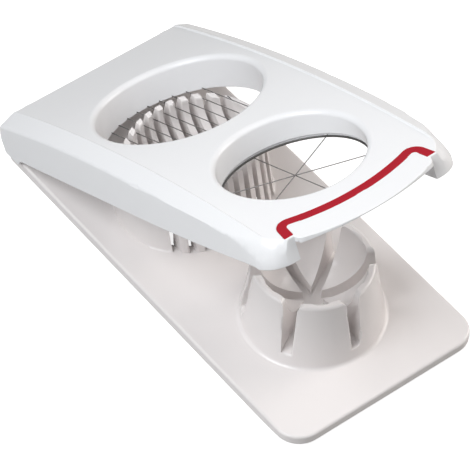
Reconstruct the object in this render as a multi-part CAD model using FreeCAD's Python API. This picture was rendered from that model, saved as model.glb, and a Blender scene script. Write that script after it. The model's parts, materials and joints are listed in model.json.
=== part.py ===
"""Two-station egg slicer: a moulded base with a wedge cup and a slatted cradle under a hinged, wired lid.

Millimetres. X is across the slicer, +Y towards the hinge, +Z up, and Z = 0 is the table.
The lid is drawn shut and then turned open about its hinge axis.
"""
import FreeCAD, Part
import os
from math import atan2, cos, degrees, hypot, pi, radians, sin, sqrt, tan

V = FreeCAD.Vector
X_AXIS = V(1, 0, 0)
Y_AXIS = V(0, 1, 0)
Z_AXIS = V(0, 0, 1)
SIDES = (-1, 1)

# The egg that the slicer is made for, lying across it
egg_across = 44.0

# Base plate
base_width = 95.0
base_length = 197.0
plate_height = 4.6
plate_skin = 2.2
plate_rim = 2.2
plate_edge_round = 1.2
front_corner_radius = 11.0
rear_corner_radius = 4.0
rib_thickness = 1.6
rib_height = 1.6

# Rubber feet
foot_proud = 1.0
foot_diameter = 11.0
foot_recess = 0.8
foot_stem_diameter = 5.0
foot_stem_length = 1.2
foot_clearance = 0.05
foot_boss_wall = 1.6
foot_side_inset = 14.5
foot_front_inset = 13.0
foot_rear_inset = 26.0

# Shared by the wedge cup and the cradle
moulding_wall = 2.2
cup_height = 32.0
cup_rim_round = 1.2
cup_foot_round = 1.6

# Wedge cup, at the front
cup_from_front = 49.0
cup_foot_radius = 29.6
cup_rim_radius = 24.8
bowl_radius = 22.0
wedge_slot_floor = 6.0
wedge_slot_width = 4.2
wedge_slot_draft = 1.8
petal_corner_round = 2.6
wedge_wire_count = 3

# Slicing cradle, at the rear
cradle_foot_across = 69.0
cradle_foot_along = 63.0
cradle_rim_across = 62.0
cradle_rim_along = 49.4
bed_depth = 21.6
slice_pitch = 5.48
slicing_wire_count = 10
slat_slot_width = 2.8

# Hinge
hinge_from_rear = 4.3
hinge_height = 19.8
hinge_pin_diameter = 3.0
pin_running_clearance = 0.06
pin_seat_clearance = 0.02
lug_width = 6.8
lug_head_radius = 3.4
lug_side_gap = 0.4
lug_heel = 10.2
lug_head_clearance = 0.35
cheek_width = 3.0
cheek_radius = 4.2
pin_boss_length = 3.4

# Lid, drawn shut
lid_open_angle = 26.75
lid_side_clearance = 0.3
lid_wall = 1.5
lid_panel = 2.2
lid_edge_above_table = 6.6
lid_crest = 28.0
lid_crest_from_hinge = 58.5
lid_front_top = 16.36864
rail_band_drop = 3.7
rail_edge_round = 2.0
panel_step = 0.7
panel_step_width = 0.5
side_taper = 3.4
taper_length = 53.5
taper_round_share = 0.7
lid_rear_corner_round = 4.0

# Lid ears and rear face
ear_depth = 2.3
ear_start = 3.0
ear_reach = 11.3
ear_rise = 5.2
rear_lean = 8.2
rear_edge_round = 3.5
ear_corner_round = 2.5
apron_depth = 6.0

# Lid front: noses at the corners and a tab between them
nose_from_front_edge = 2.2
nose_clearance = 0.3
nose_length = 20.0
nose_width = 12.9
nose_corner_round = 11.0
nose_roll_radius = 9.0
nose_roll_growth = 26.0
nose_shoulder = 6.0
nose_cheek = 2.0
nose_foot_length = 9.0
roll_lift = 0.08
tab_overhang = 6.7
tab_bow = 6.4
tab_corner_round = 5.0
tab_lip = 0.7

# Openings and their collars
slicing_opening_radius = 35.5
wedge_opening_radius = 30.0
collar_wall = 1.8
collar_edge_above_table = 12.4
opening_rim_round = 2.4
opening_bridge = 14.5
panel_margin = 3.6

# Wires
wire_diameter = 0.4
wire_height = 13.0
wire_gap = 0.05
ring_thickness = 0.7
ring_height = 1.7
ferrule_diameter = 1.6
ferrule_length = 2.2

# Red grip inlay
inlay_width = 4.0
inlay_depth = 0.8
inlay_corner_from_front = 13.2
inlay_bow = 5.4
inlay_side_margin = 0.4
inlay_leg = 9.6
inlay_leg_splay = 1.8
inlay_corner_round = 3.6

# Worked out from the sizes above
far = 4 * base_length
cut_past = 1.0
base_bottom = foot_proud
plate_top = base_bottom + plate_height
front_y = -base_length / 2
rear_y = base_length / 2
cup_y = front_y + cup_from_front
cradle_y = cup_y + wedge_opening_radius + opening_bridge + slicing_opening_radius
rim_z = plate_top + cup_height
hinge_y = rear_y - hinge_from_rear
hinge_z = hinge_height
lid_inner_half = base_width / 2 + lid_side_clearance
lid_half = lid_inner_half + lid_wall
crest_y = hinge_y - lid_crest_from_hinge
arch_drop = lid_crest - lid_front_top
arch_radius = ((crest_y - front_y) ** 2 + arch_drop ** 2) / (2 * arch_drop)
arch_centre_z = lid_crest - arch_radius
crease_half = slicing_opening_radius + opening_rim_round + panel_margin
rail_band_width = lid_half - crease_half
lid_rear_y = hinge_y + ear_reach
nose_y = front_y + nose_from_front_edge
taper_y = nose_y + taper_length
tab_half_width = lid_half - side_taper - nose_width
inlay_half_width = tab_half_width - inlay_side_margin
tab_y = front_y - tab_overhang
lug_outer = lid_inner_half - pin_boss_length - lug_side_gap
lug_inner = lug_outer - lug_width
cheek_outer = lug_inner - lug_side_gap
cheek_inner = cheek_outer - cheek_width
wire_radius = wire_diameter / 2
foot_x = base_width / 2 - foot_side_inset


# Plain solids and outlines

def block(x0, x1, y0, y1, z0, z1):
    return Part.makeBox(x1 - x0, y1 - y0, z1 - z0, V(x0, y0, z0))


def upright(x, y, radius, z0, z1):
    return Part.makeCylinder(radius, z1 - z0, V(x, y, z0), Z_AXIS)


def crossways(x0, x1, y, z, radius):
    return Part.makeCylinder(radius, x1 - x0, V(x0, y, z), X_AXIS)


def rounded_wire(corners, closed=True):
    """Line through corners given as (point, radius), each rounded by a tangent arc."""
    count = len(corners)
    starts, ends, middles = [], [], []
    for i in range(count):
        here, radius = corners[i]
        if radius <= 0:
            starts.append(here)
            ends.append(here)
            middles.append(None)
            continue
        back = (corners[i - 1][0] - here).normalize()
        ahead = (corners[(i + 1) % count][0] - here).normalize()
        half_turn = back.getAngle(ahead) / 2
        reach = radius / tan(half_turn)
        centre = here + (back + ahead).normalize() * (radius / sin(half_turn))
        starts.append(here + back * reach)
        ends.append(here + ahead * reach)
        middles.append(centre + (here - centre).normalize() * radius)
    edges = []
    for i in range(count):
        if middles[i] is not None:
            edges.append(Part.Arc(starts[i], middles[i], ends[i]).toShape())
        after = (i + 1) % count
        if after == 0 and not closed:
            break
        if ends[i].distanceToPoint(starts[after]) > 1e-6:
            edges.append(Part.LineSegment(ends[i], starts[after]).toShape())
    return Part.Wire(edges)


def flat_prism(corners, z0, z1):
    """Solid standing between two heights on a rounded outline of (x, y, radius) corners."""
    wire = rounded_wire([(V(x, y, z0), r) for x, y, r in corners])
    return Part.Face(wire).extrude(V(0, 0, z1 - z0))


def side_prism(corners, x0, x1):
    """Solid across X on a rounded side outline of (y, z, radius) corners."""
    wire = rounded_wire([(V(x0, y, z), r) for y, z, r in corners])
    return Part.Face(wire).extrude(V(x1 - x0, 0, 0))


def fused(solids):
    return solids[0].multiFuse(solids[1:]).removeSplitter()


def mirrored(corners):
    """Adds the other side's corners to a half outline given from the rear forwards at positive X."""
    return corners + [(-x, y, r) for x, y, r in reversed(corners)]


# Base

def plate_outline(inset):
    half = base_width / 2 - inset
    front_r = max(front_corner_radius - inset, 0.5)
    rear_r = max(rear_corner_radius - inset, 0.5)
    return mirrored([(half, rear_y - inset, rear_r), (half, front_y + inset, front_r)])


def base_plate():
    """Flat plate with a turned-down rim, ribs underneath and a softened top edge."""
    plate = flat_prism(plate_outline(0), base_bottom, plate_top)
    top_edges = [e for e in plate.Edges if all(abs(v.Z - plate_top) < 1e-6 for v in e.Vertexes)]
    plate = plate.makeFillet(min(plate_edge_round, plate_height / 3), top_edges)
    under = plate_top - plate_skin
    hollow = flat_prism(plate_outline(plate_rim), base_bottom, under)
    plate = plate.cut(hollow)
    ribs = []
    for x in (-foot_x, 0, foot_x):
        half = rib_thickness / 2
        y0, y1 = front_y + plate_rim, rear_y - plate_rim
        ribs.append(block(x - half, x + half, y0, y1, under - rib_height, under))
    return plate.fuse(ribs)


def foot_places():
    ys = (front_y + foot_front_inset, rear_y - foot_rear_inset)
    return [(side * foot_x, y) for y in ys for side in SIDES]


def foot_bosses():
    radius = foot_diameter / 2 + foot_boss_wall
    return [upright(x, y, radius, base_bottom, plate_top - plate_skin) for x, y in foot_places()]


def foot_sockets():
    sockets = []
    for x, y in foot_places():
        recess_top = base_bottom + foot_recess + foot_clearance
        disc = upright(x, y, foot_diameter / 2 + foot_clearance, base_bottom, recess_top)
        stem_top = recess_top + foot_stem_length
        stem = upright(x, y, foot_stem_diameter / 2 + foot_clearance, base_bottom, stem_top)
        sockets.append(disc.fuse(stem))
    return sockets


def cup_profile_radius(z):
    """Outside radius of the wedge cup at a height."""
    share = (z - plate_top) / cup_height
    return cup_foot_radius + (cup_rim_radius - cup_foot_radius) * share


def cup_body():
    """Cup turned as one tapered wall with a flared foot and a rounded rim around the bowl."""
    rim = cup_rim_radius
    top = rim_z
    rounding = min(cup_rim_round, (rim - bowl_radius) / 2.2)
    flare = cup_foot_round
    low = V(0, 0, base_bottom)
    foot_out = V(cup_foot_radius + flare, 0, plate_top)
    foot_up = V(cup_profile_radius(plate_top + flare), 0, plate_top + flare)
    foot_mid = V(cup_foot_radius + flare * (1 - cos(pi / 4)), 0, plate_top + flare * (1 - sin(pi / 4)))
    rim_low = V(cup_profile_radius(top - rounding), 0, top - rounding)
    rim_mid = V(rim - rounding * (1 - cos(pi / 4)), 0, top - rounding * (1 - sin(pi / 4)))
    rim_top = V(rim - rounding, 0, top)
    edges = [
        Part.LineSegment(low, V(foot_out.x, 0, base_bottom)).toShape(),
        Part.LineSegment(V(foot_out.x, 0, base_bottom), foot_out).toShape(),
        Part.Arc(foot_out, foot_mid, foot_up).toShape(),
        Part.LineSegment(foot_up, rim_low).toShape(),
        Part.Arc(rim_low, rim_mid, rim_top).toShape(),
        Part.LineSegment(rim_top, V(0, 0, top)).toShape(),
        Part.LineSegment(V(0, 0, top), low).toShape(),
    ]
    body = Part.Face(Part.Wire(edges)).revolve(V(0, 0, 0), Z_AXIS, 360)
    body.translate(V(0, cup_y, 0))
    return body


def wedge_directions():
    """Angles of the wedge wires from +Y, evenly turned round the cup."""
    return [180.0 * i / wedge_wire_count for i in range(wedge_wire_count)]


def wedge_slots(grow, floor_drop):
    """Crossing slots that widen upwards and flare at the rim, grown by a wall for the cores underneath."""
    floor = plate_top + wedge_slot_floor - floor_drop
    low = wedge_slot_width / 2 + grow
    high = (wedge_slot_width + wedge_slot_draft) / 2 + grow
    corner = petal_corner_round
    reach = cup_foot_radius + cup_foot_round + cut_past
    shoulder = rim_z - corner
    arc_mid_x = high + corner * (1 - cos(pi / 4))
    arc_mid_z = shoulder + corner * sin(pi / 4)
    top = rim_z + cut_past

    def half(side):
        rise = Part.LineSegment(V(side * low, -reach, floor), V(side * high, -reach, shoulder)).toShape()
        mouth = V(side * (high + corner), -reach, rim_z)
        bend_mid = V(side * arc_mid_x, -reach, arc_mid_z)
        bend = Part.Arc(V(side * high, -reach, shoulder), bend_mid, mouth).toShape()
        lip = Part.LineSegment(mouth, V(side * (high + corner), -reach, top)).toShape()
        return [rise, bend, lip]

    edges = half(1) + half(-1)
    edges.append(Part.LineSegment(V(-low, -reach, floor), V(low, -reach, floor)).toShape())
    edges.append(Part.LineSegment(V(-high - corner, -reach, top), V(high + corner, -reach, top)).toShape())
    face = Part.Face(Part.Wire(Part.__sortEdges__(edges)))
    slots = []
    for angle in wedge_directions():
        slot = face.extrude(V(0, 2 * reach, 0))
        slot.rotate(V(0, 0, 0), Z_AXIS, angle)
        slot.translate(V(0, cup_y, 0))
        slots.append(slot)
    return slots


def cup_cores():
    """Hollows under the petals, so that the cup is a moulding of even wall."""
    wall = moulding_wall
    foot_r, rim_r = cup_foot_radius - wall, cup_rim_radius - wall
    core = Part.makeCone(foot_r, rim_r, cup_height, V(0, cup_y, plate_top), Z_AXIS)
    core = core.fuse(upright(0, cup_y, foot_r, base_bottom, plate_top))
    core = core.cut(Part.makeSphere(bowl_radius + wall, V(0, cup_y, rim_z)))
    return core.cut(fused(wedge_slots(wall, wall)))


def ellipse_wire(half_x, half_y, z):
    """Ellipse round the cradle's centre at a height, whichever half is the longer."""
    centre = V(0, cradle_y, z)
    if half_x >= half_y:
        curve = Part.Ellipse(centre + V(half_x, 0, 0), centre + V(0, half_y, 0), centre)
    else:
        curve = Part.Ellipse(centre + V(0, half_y, 0), centre - V(half_x, 0, 0), centre)
    return Part.Wire([curve.toShape()])


def cradle_block(inset, z_low):
    """Tapered oval of the cradle, inset by a wall, carried straight down below the plate's top."""
    foot = (cradle_foot_across / 2 - inset, cradle_foot_along / 2 - inset)
    rim = (cradle_rim_across / 2 - inset, cradle_rim_along / 2 - inset)
    upper = Part.makeLoft([ellipse_wire(*foot, plate_top), ellipse_wire(*rim, rim_z)], True, True)
    lower = Part.Face(ellipse_wire(*foot, z_low)).extrude(V(0, 0, plate_top - z_low))
    return upper.fuse(lower)


def egg_bed(grow):
    """Egg-shaped hollow that the egg lies in, across the slicer."""
    rim_wall = (cradle_rim_along / 2 - egg_across / 2)
    half_across = cradle_rim_across / 2 - rim_wall + grow
    half_along = egg_across / 2 + grow
    bed = Part.makeSphere(1.0)
    stretch = FreeCAD.Matrix()
    stretch.scale(half_across, half_along, bed_depth + grow)
    bed = bed.transformGeometry(stretch)
    bed.translate(V(0, cradle_y, rim_z))
    return bed


def slat_slots():
    reach = cradle_foot_along / 2 + cut_past
    half = slat_slot_width / 2
    slots = []
    y0, y1 = cradle_y - reach, cradle_y + reach
    for x in slicing_wire_places():
        slots.append(block(x - half, x + half, y0, y1, plate_top, rim_z + cut_past))
    return slots


def slicing_wire_places():
    first = -slice_pitch * (slicing_wire_count - 1) / 2
    return [first + slice_pitch * i for i in range(slicing_wire_count)]


def cradle():
    """Oval block of upright slats with the egg bed sunk in it and slots from side to side for the wires."""
    body = cradle_block(0, plate_top - plate_skin).cut(egg_bed(0))
    return body.cut(cradle_core()).cut(slat_slots())


def cradle_core():
    """Hollow under the slats, open below."""
    half_x = cradle_foot_across / 2 - moulding_wall - plate_rim
    half_y = cradle_foot_along / 2 - moulding_wall - plate_rim
    top = rim_z - bed_depth - moulding_wall
    return Part.Face(ellipse_wire(half_x, half_y, base_bottom)).extrude(V(0, 0, top - base_bottom))


def hinge_lugs():
    lugs = []
    head = lug_head_radius
    for side in SIDES:
        x0, x1 = sorted((side * lug_inner, side * lug_outer))
        heel = hinge_y - lug_heel
        web = [(heel, plate_top - plate_skin, 0), (hinge_y + head, plate_top - plate_skin, 0)]
        web += [(hinge_y + head, hinge_z, 0), (hinge_y - head, hinge_z, 0)]
        post = side_prism(web, x0, x1).fuse(crossways(x0, x1, hinge_y, hinge_z, head))
        lugs.append(post)
    return lugs


def hinge_bores():
    radius = hinge_pin_diameter / 2 + pin_running_clearance
    return [crossways(-lid_half, lid_half, hinge_y, hinge_z, radius)]


def base():
    body = base_plate().fuse(foot_bosses()).cut(cradle_core())
    body = body.fuse([cup_body(), cradle()])
    bowl = Part.makeSphere(bowl_radius, V(0, cup_y, rim_z))
    body = body.cut([bowl] + wedge_slots(0, 0)).cut(cup_cores())
    body = body.cut(foot_sockets())
    body = body.fuse(hinge_lugs()).cut(hinge_bores())
    return body.removeSplitter()


def foot(x, y):
    """Rubber button with a bevelled tread and a stem that is pushed into the base."""
    radius = foot_diameter / 2
    bevel = foot_proud / 2
    tread = Part.makeCone(radius - bevel, radius, bevel, V(x, y, 0), Z_AXIS)
    disc = upright(x, y, radius, bevel, foot_proud + foot_recess)
    stem_top = foot_proud + foot_recess + foot_stem_length
    return fused([tread, disc, upright(x, y, foot_stem_diameter / 2, foot_proud, stem_top)])


# Lid, shut

def arched(corners):
    """Turns a section across X, of (x, z, radius) corners, along the lid's long, shallow arch."""
    axis = V(0, crest_y, arch_centre_z)
    half_sweep = degrees(base_length / arch_radius)
    face = Part.Face(rounded_wire([(V(x, crest_y, z), r) for x, z, r in corners]))
    face.rotate(axis, X_AXIS, -half_sweep)
    return face.revolve(axis, X_AXIS, 2 * half_sweep)


def lid_block():
    """Everything under the lid's outer skin: straight sides, sloped bands and the panel a step below them."""
    low = lid_crest - far / 8
    panel = lid_crest - panel_step
    return arched(mirrored([
        (lid_half, low, 0),
        (lid_half, lid_crest - rail_band_drop, rail_edge_round),
        (crease_half, lid_crest, 0),
        (crease_half - panel_step_width, panel, 0),
    ]))


def lid_hollow():
    low = lid_crest - far / 8
    edge = lid_crest - rail_band_drop - lid_panel
    return arched(mirrored([
        (lid_inner_half, low, 0),
        (lid_inner_half, edge, 0),
        (crease_half - panel_step_width, lid_crest - panel_step - lid_panel, 0),
    ]))


def lid_plan(inset):
    """Outline of the lid from above, its sides curving in towards the noses."""
    half = lid_half - inset
    taper_round = taper_round_share * taper_length / tan(atan2(side_taper, taper_length) / 2)
    rear_r = max(lid_rear_corner_round - inset, 0.5)
    nose_r = max(nose_corner_round - inset, 1.0)
    return mirrored([
        (half, lid_rear_y - inset, rear_r),
        (half, taper_y, taper_round),
        (half - side_taper, nose_y + inset, nose_r),
    ])


def arch_height(y):
    """Height of the lid's crest along its length."""
    return arch_centre_z + sqrt(arch_radius ** 2 - (y - crest_y) ** 2)


def arch_slope(y):
    return -(y - crest_y) / sqrt(arch_radius ** 2 - (y - crest_y) ** 2)


def rear_corners(inset):
    """Side corners of the lid's rear: the ear's heel, its rounded back and the edge under the panel."""
    ear_low = lid_edge_above_table - ear_depth
    top_y = hinge_y + ear_reach - rear_lean
    top_z = arch_height(top_y) + rear_edge_round * 0.1
    return [
        (hinge_y, ear_low, 0),
        (lid_rear_y - inset, ear_low + ear_rise, ear_corner_round),
        (top_y - inset, top_z, rear_edge_round),
    ]


def lid_keep():
    """Solid within the lid's side outline: level lower edge, feet under the noses, ears by the hinge."""
    heel, back, top = rear_corners(0)
    front = nose_y - cut_past
    nose_low = plate_top + nose_clearance
    foot_back = nose_y + nose_foot_length
    lift = lid_edge_above_table - nose_low
    ceiling = top[1] + arch_slope(top[0]) * (front - top[0])
    outline = [
        (front, nose_low, 0),
        (foot_back, nose_low, 0),
        (foot_back + 3 * lift, lid_edge_above_table, 0),
        (hinge_y - ear_start, lid_edge_above_table, 0),
        heel, back, top,
        (front, ceiling, 0),
    ]
    return side_prism(outline, -lid_half, lid_half)


def side_half_width(y, inset):
    """Half width of the tapered sides near the noses."""
    lean = side_taper / taper_length
    return lid_half - inset - side_taper + lean * (y - nose_y)


def wall_distance(x, y, inset):
    """How far a point lies inside the nose's rounded plan outline."""
    side = side_half_width(y, inset)
    front = nose_y + inset
    radius = nose_corner_round - inset
    cx, cy = side - radius, front + radius
    if x > cx and y < cy:
        return radius - hypot(x - cx, y - cy)
    return min(side - x, y - front)


def smooth_step(share):
    share = min(max(share, 0.0), 1.0)
    return share * share * (3 - 2 * share)


def roll_drop(distance, radius):
    """How far a rounded edge has fallen at a distance inside the wall, carried on straight once steep."""
    steep = 0.1 * radius
    near = max(distance, steep)
    if near >= radius:
        return 0.0
    depth = sqrt(radius ** 2 - (radius - near) ** 2)
    return radius - depth + (near - distance) * (radius - near) / depth


def roll_height(x, y, inset):
    """Top of the lid's front corner, rolled down towards the nose's front and side."""
    grown = smooth_step((nose_y + nose_roll_growth - y) / (nose_roll_growth - nose_roll_radius / 2))
    radius = rail_edge_round / 2 + (nose_roll_radius - rail_edge_round / 2) * grown
    drop = roll_drop(wall_distance(x, y, inset), radius)
    shoulder = smooth_step((x - tab_half_width) / nose_shoulder)
    band = arch_height(y) + (crease_half - x) * rail_band_drop / rail_band_width
    return band + roll_lift - shoulder * drop


def nose_roll(inset, lowered):
    """What is taken off above both rolled front corners."""
    columns, rows = 22, 34
    x0, x1 = tab_half_width - nose_shoulder, lid_half + 2
    y0, y1 = nose_y - 3, nose_y + nose_roll_growth + nose_roll_radius
    grid = []
    for i in range(columns):
        x = x0 + (x1 - x0) * i / (columns - 1)
        ys = [y0 + (y1 - y0) * j / (rows - 1) for j in range(rows)]
        grid.append([V(x, y, roll_height(x, y, inset) - lowered) for y in ys])
    surface = Part.BSplineSurface()
    surface.interpolate(grid)
    right = surface.toShape().extrude(V(0, 0, lid_crest))
    return [right, right.mirror(V(0, 0, 0), X_AXIS)]


def nearest_upright(solid, x, y):
    """The upright edge of a prism that stands nearest a point of its plan."""
    def is_upright(edge):
        box = edge.BoundBox
        return box.ZLength > max(box.XLength, box.YLength) * 1e3

    uprights = [edge for edge in solid.Edges if is_upright(edge)]
    return min(uprights, key=lambda e: hypot(e.CenterOfMass.x - x, e.CenterOfMass.y - y))


def bowed_disc_radius(half, bow):
    """Radius of an arc with the given half chord and rise."""
    return (half ** 2 + bow ** 2) / (2 * bow)


def tab_zone():
    """Plan of the tab between the noses, bowed forwards, carried back under the panel."""
    half = tab_half_width
    back = nose_y + nose_length
    low, top = plate_top + nose_clearance, lid_crest + cut_past
    radius = bowed_disc_radius(half, tab_bow)
    disc = upright(0, tab_y + radius, radius, low, top)
    zone = block(-half, half, tab_y, back, low, top).common(disc)
    corners = [nearest_upright(zone, side * half, tab_y + tab_bow) for side in SIDES]
    return zone.makeFillet(min(tab_corner_round, half / 4), corners)


def tab_undercut():
    """Wedge under the tab's bow, so that the tab thins to a lip at its middle."""
    root_y = tab_y + tab_bow
    root_z = arch_height(root_y) - panel_step - lid_panel
    lip_z = arch_height(tab_y) - panel_step - tab_lip
    tip_y = tab_y - cut_past
    outline = [(root_y, root_z, 0), (tip_y, lip_z, 0), (tip_y, plate_top, 0), (root_y, plate_top, 0)]
    return side_prism(outline, -tab_half_width, tab_half_width)


def lid_outer():
    """Outer body of the lid before it is hollowed: rolled noses at the corners and the tab between them."""
    full = far / 8
    zone = flat_prism(lid_plan(0), -full, full).common(lid_keep())
    body = lid_block().common(zone.fuse(tab_zone()))
    return body.cut(nose_roll(0, 0))


def lid_shell():
    """Even-walled shell: open below, open in front under the tab, closed round each nose."""
    full = far / 8
    cheek_half = tab_half_width + nose_cheek
    cheek_back = nose_y + nose_length
    heel, back, top = rear_corners(lid_wall)
    rear = [(back[0], -full, 0), (back[0], back[1], 0), (top[0], top[1], 0)]
    inside = side_prism(rear + [(nose_y, full, 0), (nose_y, -full, 0)], -lid_half, lid_half)
    zone = flat_prism(lid_plan(lid_wall), -full, full).common(inside)
    zone = zone.cut(block(-cheek_half, cheek_half, -far, cheek_back, -full, full))
    zone = zone.fuse(block(-tab_half_width, tab_half_width, -far, cheek_back, -full, full))
    hollow = lid_hollow().common(zone).cut(nose_roll(lid_wall, lid_panel))
    return lid_outer().cut(hollow).cut(tab_undercut())


def collar(y, radius):
    """Wall hanging from the panel round an opening."""
    return upright(0, y, radius + collar_wall, collar_edge_above_table, lid_crest + cut_past)


def lid_cheeks():
    """Hinge cheeks under the panel and bosses inside the side walls, which hold the two pins."""
    pieces = []
    for side in SIDES:
        x0, x1 = sorted((side * cheek_inner, side * cheek_outer))
        head = crossways(x0, x1, hinge_y, hinge_z, cheek_radius)
        web = block(x0, x1, hinge_y - cheek_radius, hinge_y + cheek_radius, hinge_z, lid_crest)
        b0, b1 = sorted((side * (lid_inner_half - pin_boss_length), side * (lid_inner_half + lid_wall / 4)))
        pieces += [head, web, crossways(b0, b1, hinge_y, hinge_z, cheek_radius)]
    return pieces


def pin_seats():
    """Bores for the two pins through the cheeks and bosses, stopped by the side walls."""
    radius = hinge_pin_diameter / 2 + pin_seat_clearance
    seats = []
    for side in SIDES:
        x0, x1 = sorted((side * (cheek_inner - cut_past), side * lid_inner_half))
        seats.append(crossways(x0, x1, hinge_y, hinge_z, radius))
    return seats


def rear_notches():
    """Room over and behind the hinge lugs, and the lower edge of the rear face between the ears."""
    room = lug_head_radius + lug_head_clearance
    full = far / 8
    cuts = [block(-lid_inner_half, lid_inner_half, hinge_y + room, far, -full, hinge_z - apron_depth)]
    for side in SIDES:
        x0, x1 = sorted((side * (lug_inner - lug_side_gap), side * (lug_outer + lug_side_gap)))
        cuts.append(block(x0, x1, hinge_y - room, far, -full, hinge_z + room))
    return cuts


def slicing_wire_notches():
    half = wire_radius + wire_gap
    reach = slicing_opening_radius + collar_wall + cut_past
    low = collar_edge_above_table - cut_past
    return [block(x - half, x + half, cradle_y - reach, cradle_y + reach, low, wire_height + half)
            for x in slicing_wire_places()]


def wedge_wire_heights():
    """The wedge wires cross one above another, a hair apart."""
    rise = wire_diameter + wire_gap
    return [wire_height + rise * (i - (wedge_wire_count - 1) / 2) for i in range(wedge_wire_count)]


def wedge_wire_holes():
    reach = wedge_opening_radius + collar_wall + cut_past
    holes = []
    for angle, z in zip(wedge_directions(), wedge_wire_heights()):
        hole = Part.makeCylinder(wire_radius + wire_gap, 2 * reach, V(0, -reach, z), Y_AXIS)
        hole.rotate(V(0, 0, 0), Z_AXIS, angle)
        hole.translate(V(0, cup_y, 0))
        holes.append(hole)
    return holes


def ring_span():
    """Lower and upper edge of the steel band, which the wedge wires pass through."""
    return wire_height - ring_height / 2, wire_height + ring_height / 2


def ring_seat():
    low = collar_edge_above_table - cut_past
    return upright(0, cup_y, wedge_opening_radius + ring_thickness, low, ring_span()[1])


def inlay_plan():
    """Band that follows the tab's bowed front and turns forwards at both ends, which are cut square."""
    corner_y = tab_y + tab_bow + inlay_corner_from_front
    leg_y = corner_y - inlay_leg
    half = inlay_half_width
    low, high = plate_top, lid_crest + cut_past
    bow_radius = bowed_disc_radius(half, inlay_bow) - 3 * inlay_corner_round
    tip_x = half + 2 * inlay_leg_splay
    tip_y = corner_y - 2 * inlay_leg
    path = rounded_wire([
        (V(-tip_x, tip_y, low), 0),
        (V(-half, corner_y, low), inlay_corner_round),
        (V(0, corner_y - 2 * inlay_bow, low), bow_radius),
        (V(half, corner_y, low), inlay_corner_round),
        (V(tip_x, tip_y, low), 0),
    ], closed=False)
    band = Part.Face(path.makeOffset2D(inlay_width / 2, 0, False, False, False)).extrude(V(0, 0, high - low))
    return band.common(block(-lid_half, lid_half, leg_y, corner_y + lid_half, low, high))


def panel_skin():
    """Layer of the panel that the inlay is let into."""
    top = lid_crest - panel_step
    low = top - inlay_depth
    return arched(mirrored([(crease_half, low, 0), (crease_half, top, 0)]))


def grip_inlay():
    return panel_skin().common(inlay_plan())


def lid():
    full = far / 8
    skin = lid_block()
    collars = [collar(cradle_y, slicing_opening_radius), collar(cup_y, wedge_opening_radius)]
    body = lid_shell()
    inner = fused(collars + lid_cheeks()).common(skin)
    body = body.fuse(inner)
    openings = [
        upright(0, cradle_y, slicing_opening_radius, -full, full),
        upright(0, cup_y, wedge_opening_radius, -full, full),
    ]
    body = body.cut(openings).removeSplitter()
    rims = [edge for edge in body.Edges if is_rim(edge)]
    body = body.makeFillet(opening_rim_round, rims)
    cuts = rear_notches() + pin_seats() + slicing_wire_notches() + wedge_wire_holes()
    return body.cut(cuts).cut([ring_seat(), grip_inlay()])


def is_rim(edge):
    """True for an edge of either opening that lies on the panel's outside."""
    for y, radius in ((cradle_y, slicing_opening_radius), (cup_y, wedge_opening_radius)):
        points = edge.discretize(5)
        round_it = all(abs(hypot(p.x, p.y - y) - radius) < 1e-2 for p in points)
        on_top = all(abs(p.z - arch_height(p.y) + panel_step) < 1e-1 for p in points)
        if round_it and on_top:
            return True
    return False


# Wires and what anchors them

def slicing_half_length(x):
    """Half the length of a slicing wire, out to the far ends of its ferrules."""
    return ferrule_start(x) + ferrule_length


def ferrule_start(x):
    """Where a slicing wire's ferrule bears on the outside of the collar."""
    outer = slicing_opening_radius + collar_wall
    near = max(abs(x) - ferrule_diameter / 2, 0)
    return sqrt(outer ** 2 - near ** 2)


def slicing_wire(x):
    half = slicing_half_length(x)
    return Part.makeCylinder(wire_radius, 2 * half, V(x, cradle_y - half, wire_height), Y_AXIS)


def hexagon(radius, y):
    """Six-sided outline across Y whose flats lie at a radius."""
    reach = radius / cos(pi / 6)
    points = [V(reach * cos(pi * i / 3), y, reach * sin(pi * i / 3)) for i in range(7)]
    return Part.Wire(Part.makePolygon(points))


def ferrule(centre, side):
    """Sleeve squeezed six-sided onto a wire along Y, standing outwards from a collar."""
    face = Part.Face(hexagon(ferrule_diameter / 2, 0))
    bore = Part.Face(hexagon(wire_radius, 0))
    sleeve = face.cut(bore).extrude(V(0, side * ferrule_length, 0))
    sleeve.translate(centre)
    return sleeve


def slicing_ferrules():
    pieces = []
    for x in slicing_wire_places():
        for side in SIDES:
            place = V(x, cradle_y + side * ferrule_start(x), wire_height)
            pieces.append(ferrule(place, side))
    return Part.makeCompound(pieces)


def wedge_half_length():
    return wedge_opening_radius + collar_wall + ferrule_length


def wedge_wire(angle, z):
    half = wedge_half_length()
    wire = Part.makeCylinder(wire_radius, 2 * half, V(0, -half, z), Y_AXIS)
    wire.rotate(V(0, 0, 0), Z_AXIS, angle)
    wire.translate(V(0, cup_y, 0))
    return wire


def wedge_ferrules():
    pieces = []
    for angle, z in zip(wedge_directions(), wedge_wire_heights()):
        for side in SIDES:
            piece = ferrule(V(0, side * (wedge_opening_radius + collar_wall), z), side)
            piece.rotate(V(0, 0, 0), Z_AXIS, angle)
            piece.translate(V(0, cup_y, 0))
            pieces.append(piece)
    return Part.makeCompound(pieces)


def wedge_ring():
    low, high = ring_span()
    outer = upright(0, cup_y, wedge_opening_radius + ring_thickness, low, high)
    band = outer.cut(upright(0, cup_y, wedge_opening_radius, low, high))
    return band.cut(wedge_wire_holes())


def hinge_pin(side):
    outer = lid_inner_half - pin_seat_clearance
    x0, x1 = sorted((side * cheek_inner, side * outer))
    return crossways(x0, x1, hinge_y, hinge_z, hinge_pin_diameter / 2)


def opened(shape):
    """Turns a piece of the shut lid open about the hinge."""
    turned = shape.copy()
    turned.rotate(V(0, hinge_y, hinge_z), X_AXIS, -lid_open_angle)
    return turned


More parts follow.
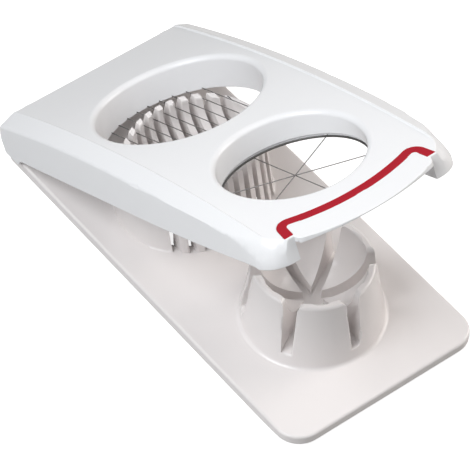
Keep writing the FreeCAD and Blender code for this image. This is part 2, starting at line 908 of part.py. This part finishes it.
def slicer():
    """Every piece by its name, with the lid open."""
    pieces = {"base": base(), "lid": opened(lid()), "grip_inlay": opened(grip_inlay())}
    for i, x in enumerate(slicing_wire_places()):
        pieces[f"slicing_wire_{i + 1}"] = opened(slicing_wire(x))
    pieces["slicing_wire_ferrules"] = opened(slicing_ferrules())
    for i, (angle, z) in enumerate(zip(wedge_directions(), wedge_wire_heights())):
        pieces[f"wedge_wire_{i + 1}"] = opened(wedge_wire(angle, z))
    pieces["wedge_wire_ring"] = opened(wedge_ring())
    pieces["wedge_wire_ferrules"] = opened(wedge_ferrules())
    pieces["hinge_pin_left"] = opened(hinge_pin(-1))
    pieces["hinge_pin_right"] = opened(hinge_pin(1))
    names = ("foot_front_left", "foot_front_right", "foot_rear_left", "foot_rear_right")
    for name, place in zip(names, foot_places()):
        pieces[name] = foot(*place)
    return pieces


os.makedirs("parts", exist_ok=True)
for name, shape in slicer().items():
    shape.exportStep(f"parts/{name}.step")
    print(name, shape.isValid(), len(shape.Solids), round(shape.Volume, 1))
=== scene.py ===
"""Two-station egg slicer in white moulded plastic, with steel cutting wires and a red grip inlay."""
import json
from math import cos, pi, radians, sin

import bmesh
import bpy
from mathutils import Matrix, Vector


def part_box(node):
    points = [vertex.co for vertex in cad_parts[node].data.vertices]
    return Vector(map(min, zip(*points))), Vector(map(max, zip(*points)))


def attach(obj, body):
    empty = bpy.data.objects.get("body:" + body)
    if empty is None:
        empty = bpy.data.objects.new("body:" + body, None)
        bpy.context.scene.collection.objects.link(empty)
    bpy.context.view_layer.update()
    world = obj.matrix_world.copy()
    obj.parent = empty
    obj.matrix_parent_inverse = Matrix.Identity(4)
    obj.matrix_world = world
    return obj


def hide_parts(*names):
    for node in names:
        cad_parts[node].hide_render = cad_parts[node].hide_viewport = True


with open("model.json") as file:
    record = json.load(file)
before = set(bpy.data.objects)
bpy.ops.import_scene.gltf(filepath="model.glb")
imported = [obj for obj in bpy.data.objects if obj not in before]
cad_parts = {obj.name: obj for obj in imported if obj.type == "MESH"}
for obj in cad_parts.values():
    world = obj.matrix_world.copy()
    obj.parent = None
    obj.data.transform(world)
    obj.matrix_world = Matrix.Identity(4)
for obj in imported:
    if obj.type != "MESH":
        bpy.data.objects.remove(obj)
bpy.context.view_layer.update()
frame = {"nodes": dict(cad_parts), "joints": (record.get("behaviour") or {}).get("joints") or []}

# Base
# One white injection moulding: a flat plate that carries the wedge cup and the slatted cradle.
# Its skin is glossy and a touch warm, with the faint unevenness that a polished mould leaves.
base_white = (0.840, 0.800, 0.788, 1)
base_gloss = 0.21
base_tone_shift = 0.04
base_peel_size = 420.0
base_edge_round = 0.0008
edge_round_steps = 3
edge_room = 1.5
sharp_from = radians(32)
sharp_to = radians(130)
flat_within = radians(0.05)
on_plane = 1e-6
tone_patches_per_metre = 14.0
gloss_patches_per_metre = 60.0
dull_tone = (0.66, 0.64, 0.63, 1)
peel_height = 0.00003
peel_strength = 0.04
plastic_ior = 1.49
hinge = frame["joints"][0]
hinge_place = Vector(hinge["pos_m"])


def new_group(name, inputs, outputs):
    """Empty shader group with float, colour and vector sockets."""
    group = bpy.data.node_groups.new(name, "ShaderNodeTree")
    for label, kind, start in inputs:
        socket = group.interface.new_socket(label, in_out="INPUT", socket_type=kind)
        if start is not None:
            socket.default_value = start
    for label, kind in outputs:
        group.interface.new_socket(label, in_out="OUTPUT", socket_type=kind)
    return group, group.nodes.new("NodeGroupInput").outputs, group.nodes.new("NodeGroupOutput").inputs


def add_node(tree, kind, inputs, operation=None):
    """Adds a node, links each given socket and sets each given value, and returns its first output."""
    node = tree.nodes.new(kind)
    if operation is not None:
        node.operation = operation
    for key, value in inputs.items():
        if isinstance(value, bpy.types.NodeSocket):
            tree.links.new(value, node.inputs[key])
        else:
            node.inputs[key].default_value = value
    return node.outputs[0]


def calc(tree, operation, a, b=0.0, c=0.0):
    """Sum, product or other reckoning on up to three values."""
    return add_node(tree, "ShaderNodeMath", {0: a, 1: b, 2: c}, operation)


def noise(tree, place, per_metre, detail):
    """Soft random patches, so many to a metre."""
    return add_node(tree, "ShaderNodeTexNoise", {"Vector": place, "Scale": per_metre, "Detail": detail})


def toned(tree, colour, share, darker):
    """Colour pulled towards a darker tone by a share."""
    mix = tree.nodes.new("ShaderNodeMix")
    mix.data_type = "RGBA"
    mix.blend_type = "MULTIPLY"
    tree.links.new(share, mix.inputs["Factor"])
    tree.links.new(colour, mix.inputs["A"])
    mix.inputs["B"].default_value = darker
    return mix.outputs["Result"]


def moulding_group():
    """Unevenness of a moulded skin: slow shifts of tone and gloss, and a fine orange peel."""
    group, given, result = new_group(
        "moulded_skin",
        [("Vector", "NodeSocketVector", None), ("Colour", "NodeSocketColor", (0.8, 0.8, 0.8, 1)),
         ("Tone Shift", "NodeSocketFloat", 0.04), ("Gloss", "NodeSocketFloat", 0.3),
         ("Gloss Shift", "NodeSocketFloat", 0.06), ("Peel Size", "NodeSocketFloat", 500.0)],
        [("Colour", "NodeSocketColor"), ("Roughness", "NodeSocketFloat"), ("Height", "NodeSocketFloat")])
    slow = noise(group, given["Vector"], tone_patches_per_metre, detail=1.0)
    flow = noise(group, given["Vector"], gloss_patches_per_metre, detail=2.0)
    peel = noise(group, given["Vector"], given["Peel Size"], detail=1.0)
    share = calc(group, "MULTIPLY", slow, given["Tone Shift"])
    group.links.new(toned(group, given["Colour"], share, dull_tone), result["Colour"])
    spread = calc(group, "SUBTRACT", flow, 0.5)
    rough = calc(group, "MULTIPLY_ADD", spread, given["Gloss Shift"], given["Gloss"])
    group.links.new(rough, result["Roughness"])
    group.links.new(peel, result["Height"])
    return group


moulded_skin = moulding_group()


def dressed(name, skin_group, settings, bump_height, bump_strength):
    """Material whose colour, roughness and fine bump come from a shared skin group."""
    material = bpy.data.materials.new(name)
    material.use_nodes = True
    tree = material.node_tree
    shader = tree.nodes["Principled BSDF"]
    place = tree.nodes.new("ShaderNodeTexCoord")
    skin = tree.nodes.new("ShaderNodeGroup")
    skin.node_tree = skin_group
    tree.links.new(place.outputs["Object"], skin.inputs["Vector"])
    for label, value in settings.items():
        skin.inputs[label].default_value = value
    bump = add_node(tree, "ShaderNodeBump", {"Height": skin.outputs["Height"], "Distance": bump_height,
                                             "Strength": bump_strength})
    tree.links.new(skin.outputs["Colour"], shader.inputs["Base Color"])
    tree.links.new(skin.outputs["Roughness"], shader.inputs["Roughness"])
    tree.links.new(bump, shader.inputs["Normal"])
    return material


def plastic(name, colour, gloss, tone_shift, peel_size):
    """Moulded plastic."""
    settings = {"Colour": colour, "Gloss": gloss, "Tone Shift": tone_shift, "Peel Size": peel_size}
    material = dressed(name, moulded_skin, settings, peel_height, peel_strength)
    material.node_tree.nodes["Principled BSDF"].inputs["IOR"].default_value = plastic_ior
    return material


def parted(work, planes):
    """Cuts a mesh along planes, so that no flat face closes round an opening, and gives its other edges."""
    for point, normal in planes:
        everything = list(work.verts) + list(work.edges) + list(work.faces)
        bmesh.ops.bisect_plane(work, geom=everything, dist=on_plane, plane_co=point, plane_no=normal)

    def on_cut(edge):
        return any(all(abs((vert.co - point).dot(normal)) < 2 * on_plane for vert in edge.verts)
                   for point, normal in planes)

    return [edge for edge in work.edges if not on_cut(edge)]


def roomy(edge, edge_round):
    """True where every edge that meets this one is long enough for the rounding."""
    neighbours = [other for vert in edge.verts for other in vert.link_edges]
    return all(other.calc_length() > edge_room * edge_round for other in neighbours)


def softened(node, name, body, material, edge_round, planes=()):
    """Copy of a node's solid with its triangles joined, its long edges rounded off and its curves smooth."""
    mesh = frame["nodes"][node].data.copy()
    mesh.name = name
    work = bmesh.new()
    work.from_mesh(mesh)
    bmesh.ops.remove_doubles(work, verts=work.verts, dist=on_plane)
    loose = parted(work, planes)
    bmesh.ops.dissolve_limit(work, angle_limit=flat_within, verts=work.verts, edges=loose)
    weight = work.edges.layers.float.new("bevel_weight_edge")
    for face in work.faces:
        face.smooth = True
    for edge in work.edges:
        turn = edge.calc_face_angle(0)
        edge.smooth = turn < sharp_from
        edge[weight] = 1.0 if sharp_from <= turn <= sharp_to and roomy(edge, edge_round) else 0.0
    work.to_mesh(mesh)
    work.free()
    mesh.materials.clear()
    mesh.materials.append(material)
    piece = bpy.data.objects.new(name, mesh)
    bpy.context.collection.objects.link(piece)
    if edge_round > 0:
        bevel = piece.modifiers.new("edge_round", "BEVEL")
        bevel.width = edge_round
        bevel.segments = edge_round_steps
        bevel.limit_method = "WEIGHT"
        bevel.use_clamp_overlap = False
    even = piece.modifiers.new("even_shading", "WEIGHTED_NORMAL")
    even.keep_sharp = True
    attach(piece, body)
    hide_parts(node)
    return piece


def middle(nodes):
    """Middle of the box round some nodes."""
    corners = [Vector(corner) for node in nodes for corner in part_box(node)]
    low = Vector([min(corner[i] for corner in corners) for i in range(3)])
    high = Vector([max(corner[i] for corner in corners) for i in range(3)])
    return (low + high) / 2


foot_side = middle(["foot_front_right"]).x
middle_plane = (Vector((0, 0, 0)), Vector((1, 0, 0)))
hinge_plane = (hinge_place, Vector((0, 0, 1)))
foot_planes = [(Vector((side * foot_side, 0, 0)), Vector((1, 0, 0))) for side in (-1, 1)]
base_plastic = plastic("base_plastic", base_white, base_gloss, base_tone_shift, base_peel_size)
softened("base", "base_moulding", "base_body", base_plastic, base_edge_round,
         [middle_plane, hinge_plane] + foot_planes)

# Feet
# Four pale rubber buttons pushed into sockets under the plate.
# They are matt, and keep the slicer from sliding on the table.
foot_grey = (0.60, 0.59, 0.57, 1)
foot_gloss = 0.75
foot_tone_shift = 0.20
foot_grain_size = 1800.0
foot_rubber = plastic("foot_rubber", foot_grey, foot_gloss, foot_tone_shift, foot_grain_size)
for end in ("front", "rear"):
    for hand in ("left", "right"):
        node = f"foot_{end}_{hand}"
        softened(node, f"{node}_rubber", "base_body", foot_rubber, edge_round=0)

# Lid
# One white moulding, arched along its length, with a step inside each sloped side band.
# It turns on two pins at the rear and carries all the cutting wires.
lid_white = (0.848, 0.848, 0.858, 1)
lid_gloss = 0.23
lid_tone_shift = 0.03
lid_peel_size = 500.0
lid_edge_round = 0.0003
lid_plastic = plastic("lid_plastic", lid_white, lid_gloss, lid_tone_shift, lid_peel_size)
softened("lid", "lid_moulding", "lid_body", lid_plastic, lid_edge_round,
         [middle_plane, hinge_plane])

# Grip inlay
# Red plastic strip let into the tab, flush with its top, where the thumb pushes the lid down.
# It is duller than the lid, so that its colour stays deep.
grip_colour = (0.385, 0.008, 0.020, 1)
grip_gloss = 0.45
grip_tone_shift = 0.10
grip_peel_size = 700.0
grip_mirror = 0.12
grip_edge_round = 0.0001
grip_red = plastic("grip_red", grip_colour, grip_gloss, grip_tone_shift, grip_peel_size)
grip_red.node_tree.nodes["Principled BSDF"].inputs["Specular IOR Level"].default_value = grip_mirror
softened("grip_inlay", "grip_strip", "lid_body", grip_red, grip_edge_round)

# Slicing wires
# Ten thin stainless wires strung along the rear opening, spaced to fall between the cradle's slats.
# They are drawn through a die, which leaves fine streaks along them.
slicing_wire_count = 10
slicing_wire_nodes = [f"slicing_wire_{i + 1}" for i in range(slicing_wire_count)]
collar_outer = 0.0373
sleeve_radius = 0.0008
sleeve_length = 0.0022
wire_sides = 20
wire_grey = (0.20, 0.195, 0.19, 1)
wire_gloss = 0.30
streaks_per_metre = 9000.0
streak_stretch = (1.0, 0.03, 1.0)
streak_tone = (0.45, 0.44, 0.43, 1)
streak_height = 0.00001
streak_strength = 0.1
lid_turn = Matrix.Rotation(radians(-hinge["range_deg"][0]), 4, Vector(hinge["axis"]))


def streak_group():
    """Marks that drawing and rolling leave on steel: streaks of tone and gloss along the length."""
    group, given, result = new_group(
        "drawn_streaks",
        [("Vector", "NodeSocketVector", None), ("Colour", "NodeSocketColor", (0.5, 0.5, 0.5, 1)),
         ("Gloss", "NodeSocketFloat", 0.3), ("Gloss Shift", "NodeSocketFloat", 0.2),
         ("Tone Shift", "NodeSocketFloat", 0.3)],
        [("Colour", "NodeSocketColor"), ("Roughness", "NodeSocketFloat"), ("Height", "NodeSocketFloat")])
    along = add_node(group, "ShaderNodeMapping", {
        "Vector": given["Vector"], "Rotation": lid_turn.inverted().to_euler(), "Scale": streak_stretch})
    streak = noise(group, along, streaks_per_metre, detail=2.0)
    share = calc(group, "MULTIPLY", streak, given["Tone Shift"])
    group.links.new(toned(group, given["Colour"], share, streak_tone), result["Colour"])
    spread = calc(group, "SUBTRACT", streak, 0.5)
    rough = calc(group, "MULTIPLY_ADD", spread, given["Gloss Shift"], given["Gloss"])
    group.links.new(rough, result["Roughness"])
    group.links.new(streak, result["Height"])
    return group


drawn_streaks = streak_group()


def steel(name, colour, gloss):
    """Drawn or rolled steel."""
    material = dressed(name, drawn_streaks, {"Colour": colour, "Gloss": gloss}, streak_height,
                       streak_strength)
    material.node_tree.nodes["Principled BSDF"].inputs["Metallic"].default_value = 1.0
    return material


def size_tree(name, sizes):
    """Geometry tree with one named input for each size."""
    tree = bpy.data.node_groups.new(name, "GeometryNodeTree")
    for label, kind in sizes:
        tree.interface.new_socket(label, in_out="INPUT", socket_type=kind)
    tree.interface.new_socket("Geometry", in_out="OUTPUT", socket_type="NodeSocketGeometry")
    return tree, tree.nodes.new("NodeGroupInput").outputs


def close_tree(tree, geometry, material):
    """Makes the instances real, shades them smooth and gives them their material."""
    real = add_node(tree, "GeometryNodeRealizeInstances", {"Geometry": geometry})
    smooth = add_node(tree, "GeometryNodeSetShadeSmooth", {"Geometry": real})
    finished = add_node(tree, "GeometryNodeSetMaterial", {"Geometry": smooth, "Material": material})
    tree.links.new(finished, tree.nodes.new("NodeGroupOutput").inputs[0])


def grown(name, tree, sizes, place, nodes):
    """Runs a tree at the given sizes, and keeps the result as a plain mesh in its place on the lid."""
    piece = bpy.data.objects.new(name, bpy.data.meshes.new(f"{name}_seed"))
    bpy.context.collection.objects.link(piece)
    maker = piece.modifiers.new(name, "NODES")
    maker.node_group = tree
    for item in tree.interface.items_tree:
        if item.in_out == "INPUT":
            maker[item.identifier] = sizes[item.name]
    evaluated = piece.evaluated_get(bpy.context.evaluated_depsgraph_get())
    mesh = bpy.data.meshes.new_from_object(evaluated)
    piece.modifiers.remove(maker)
    mesh.transform(place)
    mesh.set_sharp_from_angle(angle=sharp_from)
    piece.data = mesh
    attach(piece, "lid_body")
    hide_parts(*nodes)


def wire_row(tree, given):
    """Points in a row across the slicer, one for each wire, and each wire's reach to the collar's outside."""
    spread = calc(tree, "MULTIPLY", given["Pitch"], calc(tree, "SUBTRACT", given["Count"], 1.0))
    first = add_node(tree, "ShaderNodeCombineXYZ", {"X": calc(tree, "MULTIPLY", spread, -0.5)})
    step = add_node(tree, "ShaderNodeCombineXYZ", {"X": given["Pitch"]})
    row = add_node(tree, "GeometryNodeMeshLine",
                   {"Count": given["Count"], "Start Location": first, "Offset": step})
    position = tree.nodes.new("GeometryNodeInputPosition").outputs[0]
    across = calc(tree, "ABSOLUTE", add_node(tree, "ShaderNodeSeparateXYZ", {0: position}))
    near = calc(tree, "MAXIMUM", calc(tree, "SUBTRACT", across, given["Sleeve Radius"]), 0.0)
    outer = calc(tree, "MULTIPLY", given["Collar Radius"], given["Collar Radius"])
    reach = calc(tree, "SQRT", calc(tree, "SUBTRACT", outer, calc(tree, "MULTIPLY", near, near)))
    return row, reach


def unit_wire(tree, radius):
    """Wire along Y, one metre to each side, to be scaled to its length."""
    rod = add_node(tree, "GeometryNodeMeshCylinder", {"Vertices": wire_sides, "Radius": radius, "Depth": 2.0})
    return add_node(tree, "GeometryNodeTransform", {"Geometry": rod, "Rotation": (pi / 2, 0, 0)})


def slicing_wire_tree(material):
    """Row of wires, each as long as the collar is wide where it runs."""
    tree, given = size_tree("slicing_wires", [
        ("Count", "NodeSocketInt"), ("Pitch", "NodeSocketFloat"), ("Wire Radius", "NodeSocketFloat"),
        ("Collar Radius", "NodeSocketFloat"), ("Sleeve Radius", "NodeSocketFloat"),
        ("Sleeve Length", "NodeSocketFloat")])
    row, reach = wire_row(tree, given)
    half = calc(tree, "ADD", reach, given["Sleeve Length"])
    stretch = add_node(tree, "ShaderNodeCombineXYZ", {"X": 1.0, "Y": half, "Z": 1.0})
    wires = add_node(tree, "GeometryNodeInstanceOnPoints",
                     {"Points": row, "Instance": unit_wire(tree, given["Wire Radius"]), "Scale": stretch})
    close_tree(tree, wires, material)
    return tree


wire_low, wire_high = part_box(slicing_wire_nodes[0])
wire_radius = (wire_high[0] - wire_low[0]) / 2
wire_span = middle(slicing_wire_nodes[-1:]).x - middle(slicing_wire_nodes[:1]).x
slicing_sizes = {"Count": slicing_wire_count, "Pitch": wire_span / (slicing_wire_count - 1),
                 "Wire Radius": wire_radius, "Collar Radius": collar_outer,
                 "Sleeve Radius": sleeve_radius, "Sleeve Length": sleeve_length}
slicing_place = Matrix.Translation(middle(slicing_wire_nodes)) @ lid_turn
wire_steel = steel("wire_steel", wire_grey, wire_gloss)
grown("slicing_wires", slicing_wire_tree(wire_steel), slicing_sizes, slicing_place,
      slicing_wire_nodes)

# Slicing wire sleeves
# Steel sleeves squeezed six-sided onto both ends of each wire, bearing on the outside of the collar.
# Each has two dents where the crimping tool closed on it.
sleeve_dent = 0.16
sleeve_rings = 17
sleeve_sides = 6
sleeve_grey = (0.50, 0.49, 0.48, 1)
sleeve_gloss = 0.35


def crimped_sleeve(tree, given):
    """Sleeve along +Y from the origin, pinched twice."""
    end = add_node(tree, "ShaderNodeCombineXYZ", {"Y": given["Sleeve Length"]})
    line = add_node(tree, "GeometryNodeCurvePrimitiveLine", {"End": end})
    spine = add_node(tree, "GeometryNodeResampleCurve", {"Curve": line, "Count": sleeve_rings})
    share = tree.nodes.new("GeometryNodeSplineParameter").outputs["Factor"]
    wave = calc(tree, "SINE", calc(tree, "MULTIPLY", share, 2 * pi))
    pinch = calc(tree, "MULTIPLY", calc(tree, "MULTIPLY", wave, wave), given["Dent"])
    ring = add_node(tree, "GeometryNodeCurvePrimitiveCircle",
                    {"Resolution": sleeve_sides, "Radius": given["Sleeve Radius"]})
    width = calc(tree, "SUBTRACT", 1.0, pinch)
    return add_node(tree, "GeometryNodeCurveToMesh",
                    {"Curve": spine, "Profile Curve": ring, "Scale": width, "Fill Caps": True})


def both_ends(tree, pieces):
    """A set of pieces and the same set turned half round."""
    turned = add_node(tree, "GeometryNodeTransform", {"Geometry": pieces, "Rotation": (0, 0, pi)})
    joined = tree.nodes.new("GeometryNodeJoinGeometry")
    tree.links.new(pieces, joined.inputs[0])
    tree.links.new(turned, joined.inputs[0])
    return joined.outputs[0]


def slicing_sleeve_tree(material):
    """Sleeve at both ends of each wire in the row."""
    tree, given = size_tree("slicing_sleeves", [
        ("Count", "NodeSocketInt"), ("Pitch", "NodeSocketFloat"), ("Collar Radius", "NodeSocketFloat"),
        ("Sleeve Radius", "NodeSocketFloat"), ("Sleeve Length", "NodeSocketFloat"),
        ("Dent", "NodeSocketFloat")])
    row, reach = wire_row(tree, given)
    out = add_node(tree, "ShaderNodeCombineXYZ", {"Y": reach})
    ends = add_node(tree, "GeometryNodeSetPosition", {"Geometry": row, "Offset": out})
    sleeves = add_node(tree, "GeometryNodeInstanceOnPoints",
                       {"Points": ends, "Instance": crimped_sleeve(tree, given)})
    close_tree(tree, both_ends(tree, sleeves), material)
    return tree


ferrule_steel = steel("ferrule_steel", sleeve_grey, sleeve_gloss)
grown("slicing_wire_sleeves", slicing_sleeve_tree(ferrule_steel), {**slicing_sizes, "Dent": sleeve_dent},
      slicing_place, ["slicing_wire_ferrules"])

# Wedge wires
# Three wires that cross in the middle of the front opening, one above another, and cut an egg in six.
# They run through the ring and the collar, and end in sleeves outside it.
wedge_wire_count = 3
wedge_wire_nodes = [f"wedge_wire_{i + 1}" for i in range(wedge_wire_count)]
wedge_collar_outer = 0.0318
wire_rise = 0.00045


def star_tree(name, sizes, piece_maker, material):
    """Copies of one piece turned evenly round the opening, each a step above the last."""
    shared = [("Count", "NodeSocketInt"), ("Rise", "NodeSocketFloat")]
    tree, given = size_tree(name, shared + sizes)
    spread = calc(tree, "MULTIPLY", given["Rise"], calc(tree, "SUBTRACT", given["Count"], 1.0))
    first = add_node(tree, "ShaderNodeCombineXYZ", {"Z": calc(tree, "MULTIPLY", spread, -0.5)})
    step = add_node(tree, "ShaderNodeCombineXYZ", {"Z": given["Rise"]})
    stack = add_node(tree, "GeometryNodeMeshLine",
                     {"Count": given["Count"], "Start Location": first, "Offset": step})
    index = tree.nodes.new("GeometryNodeInputIndex").outputs[0]
    turn = calc(tree, "MULTIPLY", index, calc(tree, "DIVIDE", pi, given["Count"]))
    heading = add_node(tree, "ShaderNodeCombineXYZ", {"Z": turn})
    star = add_node(tree, "GeometryNodeInstanceOnPoints",
                    {"Points": stack, "Instance": piece_maker(tree, given), "Rotation": heading})
    close_tree(tree, star, material)
    return tree


def wedge_wire(tree, given):
    """Wire that runs through the middle of the opening, out to the ends of its sleeves."""
    half = calc(tree, "ADD", given["Collar Radius"], given["Sleeve Length"])
    stretch = add_node(tree, "ShaderNodeCombineXYZ", {"X": 1.0, "Y": half, "Z": 1.0})
    rod = unit_wire(tree, given["Wire Radius"])
    return add_node(tree, "GeometryNodeTransform", {"Geometry": rod, "Scale": stretch})


wedge_sizes = {"Count": wedge_wire_count, "Rise": wire_rise, "Wire Radius": wire_radius,
               "Collar Radius": wedge_collar_outer, "Sleeve Radius": sleeve_radius,
               "Sleeve Length": sleeve_length}
wedge_place = Matrix.Translation(middle(wedge_wire_nodes)) @ lid_turn
wedge_wire_sizes = [("Wire Radius", "NodeSocketFloat"), ("Collar Radius", "NodeSocketFloat"),
                    ("Sleeve Length", "NodeSocketFloat")]
grown("wedge_wires", star_tree("wedge_wires", wedge_wire_sizes, wedge_wire, wire_steel), wedge_sizes,
      wedge_place, wedge_wire_nodes)

# Wedge wire sleeves
# Six steel sleeves of the same kind, one on each end of the three wedge wires.
# They bear on the outside of the front collar and keep the wires taut.
wedge_sleeve_sizes = [("Collar Radius", "NodeSocketFloat"), ("Sleeve Radius", "NodeSocketFloat"),
                      ("Sleeve Length", "NodeSocketFloat"), ("Dent", "NodeSocketFloat")]


def wedge_sleeves(tree, given):
    """Sleeve at both ends of a wedge wire."""
    out = add_node(tree, "ShaderNodeCombineXYZ", {"Y": given["Collar Radius"]})
    sleeve = crimped_sleeve(tree, given)
    return both_ends(tree, add_node(tree, "GeometryNodeTransform", {"Geometry": sleeve, "Translation": out}))


grown("wedge_wire_sleeves", star_tree("wedge_sleeves", wedge_sleeve_sizes, wedge_sleeves, ferrule_steel),
      {**wedge_sizes, "Dent": sleeve_dent}, wedge_place, ["wedge_wire_ferrules"])

# Wedge wire ring
# Rolled steel band let into the foot of the front collar, where the wedge wires pass through it; its
# near-black colour is partly the steel's and partly painted shade for the shadow gap under the collar.
# Its edges are rolled over, so that only a narrow bead shows inside the opening.
ring_inner = 0.0300
ring_outer = 0.0307
ring_height = 0.0009
ring_bead = 0.0002
ring_steps = 144
# Near-black steel colour, partly painted shade: it stands in for the shadow gap at the foot of the front
# collar.
ring_painted_shade_grey = (0.10, 0.098, 0.095, 1)
ring_gloss = 0.36


def rolled_band(name):
    """Band with bevelled edges, turned round the opening's axis."""
    half = ring_height / 2
    section = [(ring_inner, -half + ring_bead), (ring_inner, half - ring_bead),
               (ring_inner + ring_bead, half), (ring_outer - ring_bead, half),
               (ring_outer, half - ring_bead), (ring_outer, -half + ring_bead),
               (ring_outer - ring_bead, -half), (ring_inner + ring_bead, -half)]
    count = len(section)
    points = []
    for i in range(ring_steps):
        turn = 2 * pi * i / ring_steps
        points += [(r * cos(turn), r * sin(turn), z) for r, z in section]
    faces = []
    for i in range(ring_steps):
        after = (i + 1) % ring_steps
        for j in range(count):
            k = (j + 1) % count
            faces.append((i * count + j, i * count + k, after * count + k, after * count + j))
    mesh = bpy.data.meshes.new(name)
    mesh.from_pydata(points, [], faces)
    mesh.transform(wedge_place)
    mesh.shade_smooth()
    mesh.set_sharp_from_angle(angle=sharp_from)
    return mesh


ring_steel = steel("ring_steel", ring_painted_shade_grey, ring_gloss)
ring_mesh = rolled_band("wedge_wire_band")
ring_mesh.materials.append(ring_steel)
band = bpy.data.objects.new("wedge_wire_band", ring_mesh)
bpy.context.collection.objects.link(band)
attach(band, "lid_body")
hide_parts("wedge_wire_ring")

# Hinge pins
# Two short steel pins fixed in the lid's cheeks and bosses, turning in the base's lugs.
# Each is a plain length of bright rod, cut square at both ends.
pin_grey = (0.55, 0.54, 0.53, 1)
pin_gloss = 0.3
pin_steel = steel("pin_steel", pin_grey, pin_gloss)
for hand in ("left", "right"):
    softened(f"hinge_pin_{hand}", f"hinge_pin_{hand}_turned", "lid_body", pin_steel,
             edge_round=0)

# Floor
# A plain pale sheet that shows as white and keeps a light shadow under the slicer.
# In the gloss of the plastic it shows darker, so that faces turned down keep their shade.
floor_half = 6.0
floor_white = (0.50, 0.495, 0.49, 1)
floor_lift = 0.84
floor_gloss_share = 0.25
floor_roughness = 0.9


def seen_ray(tree, gloss_share):
    """One where the camera looks straight at a surface or through glass, and a share of that in gloss."""
    path = tree.nodes.new("ShaderNodeLightPath").outputs
    glossy = calc(tree, "MULTIPLY", path["Is Glossy Ray"], gloss_share)
    seen = calc(tree, "MAXIMUM", path["Is Camera Ray"], glossy)
    return calc(tree, "MAXIMUM", seen, path["Is Transmission Ray"])


floor_mesh = bpy.data.meshes.new("floor")
floor_corners = [(-1, -1), (1, -1), (1, 1), (-1, 1)]
floor_mesh.from_pydata([(x * floor_half, y * floor_half, 0) for x, y in floor_corners], [], [(0, 1, 2, 3)])
floor_paper = bpy.data.materials.new("floor_paper")
floor_paper.use_nodes = True
floor_tree = floor_paper.node_tree
floor_shader = floor_tree.nodes["Principled BSDF"]
floor_shader.inputs["Base Color"].default_value = floor_white
floor_shader.inputs["Roughness"].default_value = floor_roughness
floor_shader.inputs["Specular IOR Level"].default_value = 0.0
floor_shader.inputs["Emission Color"].default_value = (1, 1, 1, 1)
floor_seen = seen_ray(floor_tree, floor_gloss_share)
floor_tree.links.new(calc(floor_tree, "MULTIPLY", floor_seen, floor_lift),
                     floor_shader.inputs["Emission Strength"])
floor_mesh.materials.append(floor_paper)
floor = bpy.data.objects.new("floor", floor_mesh)
bpy.context.collection.objects.link(floor)

# Light
# Soft studio light: a small box above the tab, a high cool one on the left and a low warm one on the right.
# The surround shows as white, and lights the slicer at a lower level that grows towards the rear.
surround_front = 0.03
surround_rear = 0.27
world = bpy.data.worlds.new("studio")
bpy.context.scene.world = world
world.use_nodes = True
sky = world.node_tree
sky_place = sky.nodes.new("ShaderNodeTexCoord").outputs["Generated"]
sky_parts = sky.nodes.new("ShaderNodeSeparateXYZ")
sky.links.new(sky_place, sky_parts.inputs[0])
sky_level = calc(sky, "MULTIPLY_ADD", sky_parts.outputs["Y"], (surround_rear - surround_front) / 2,
                 (surround_rear + surround_front) / 2)
sky_seen = seen_ray(sky, gloss_share=1.0)
sky_unseen = calc(sky, "SUBTRACT", 1.0, sky_seen)
sky.links.new(calc(sky, "MULTIPLY_ADD", sky_unseen, sky_level, sky_seen),
              sky.nodes["Background"].inputs["Strength"])
sky.nodes["Background"].inputs["Color"].default_value = (1, 1, 1, 1)


def soft_box(name, place, aim, size, power, tint):
    """Square studio lamp turned to a point."""
    lamp = bpy.data.lights.new(name, "AREA")
    lamp.size = size
    lamp.energy = power
    lamp.color = tint
    lamp_object = bpy.data.objects.new(name, lamp)
    lamp_object.location = place
    lamp_object.rotation_euler = (Vector(aim) - Vector(place)).to_track_quat("-Z", "Y").to_euler()
    bpy.context.collection.objects.link(lamp_object)


soft_box("top_box", place=(0.07, -0.13, 0.43), aim=(0.02, -0.06, 0.09), size=0.3, power=0.42,
         tint=(1.0, 1.0, 1.0))
soft_box("left_box", place=(-0.60, -0.01, 0.77), aim=(0, 0, 0.03), size=0.6, power=7.5,
         tint=(0.95, 0.975, 1.0))
soft_box("right_box", place=(0.90, -0.25, 0.40), aim=(0, 0, 0.03), size=0.6, power=5.6,
         tint=(1.0, 0.95, 0.91))

# Camera
# Stands at the front left and looks down on the open lid, as in the photograph.
# Its long lens keeps the far end of the slicer nearly as large as the near one.
camera_place = (-0.5425, -0.7125, 1.0557)
camera_aim = Vector((0.0014, 0.0040, 0.0026))
camera_lens = 257.3
camera_sensor = 36.0
camera = bpy.data.objects.new("camera", bpy.data.cameras.new("camera"))
camera.data.lens = camera_lens
camera.data.sensor_width = camera_sensor
camera.location = camera_place
camera.rotation_euler = (camera_aim - camera.location).to_track_quat("-Z", "Y").to_euler()
bpy.context.collection.objects.link(camera)
bpy.context.scene.camera = camera
bpy.context.scene.view_settings.view_transform = "Standard"
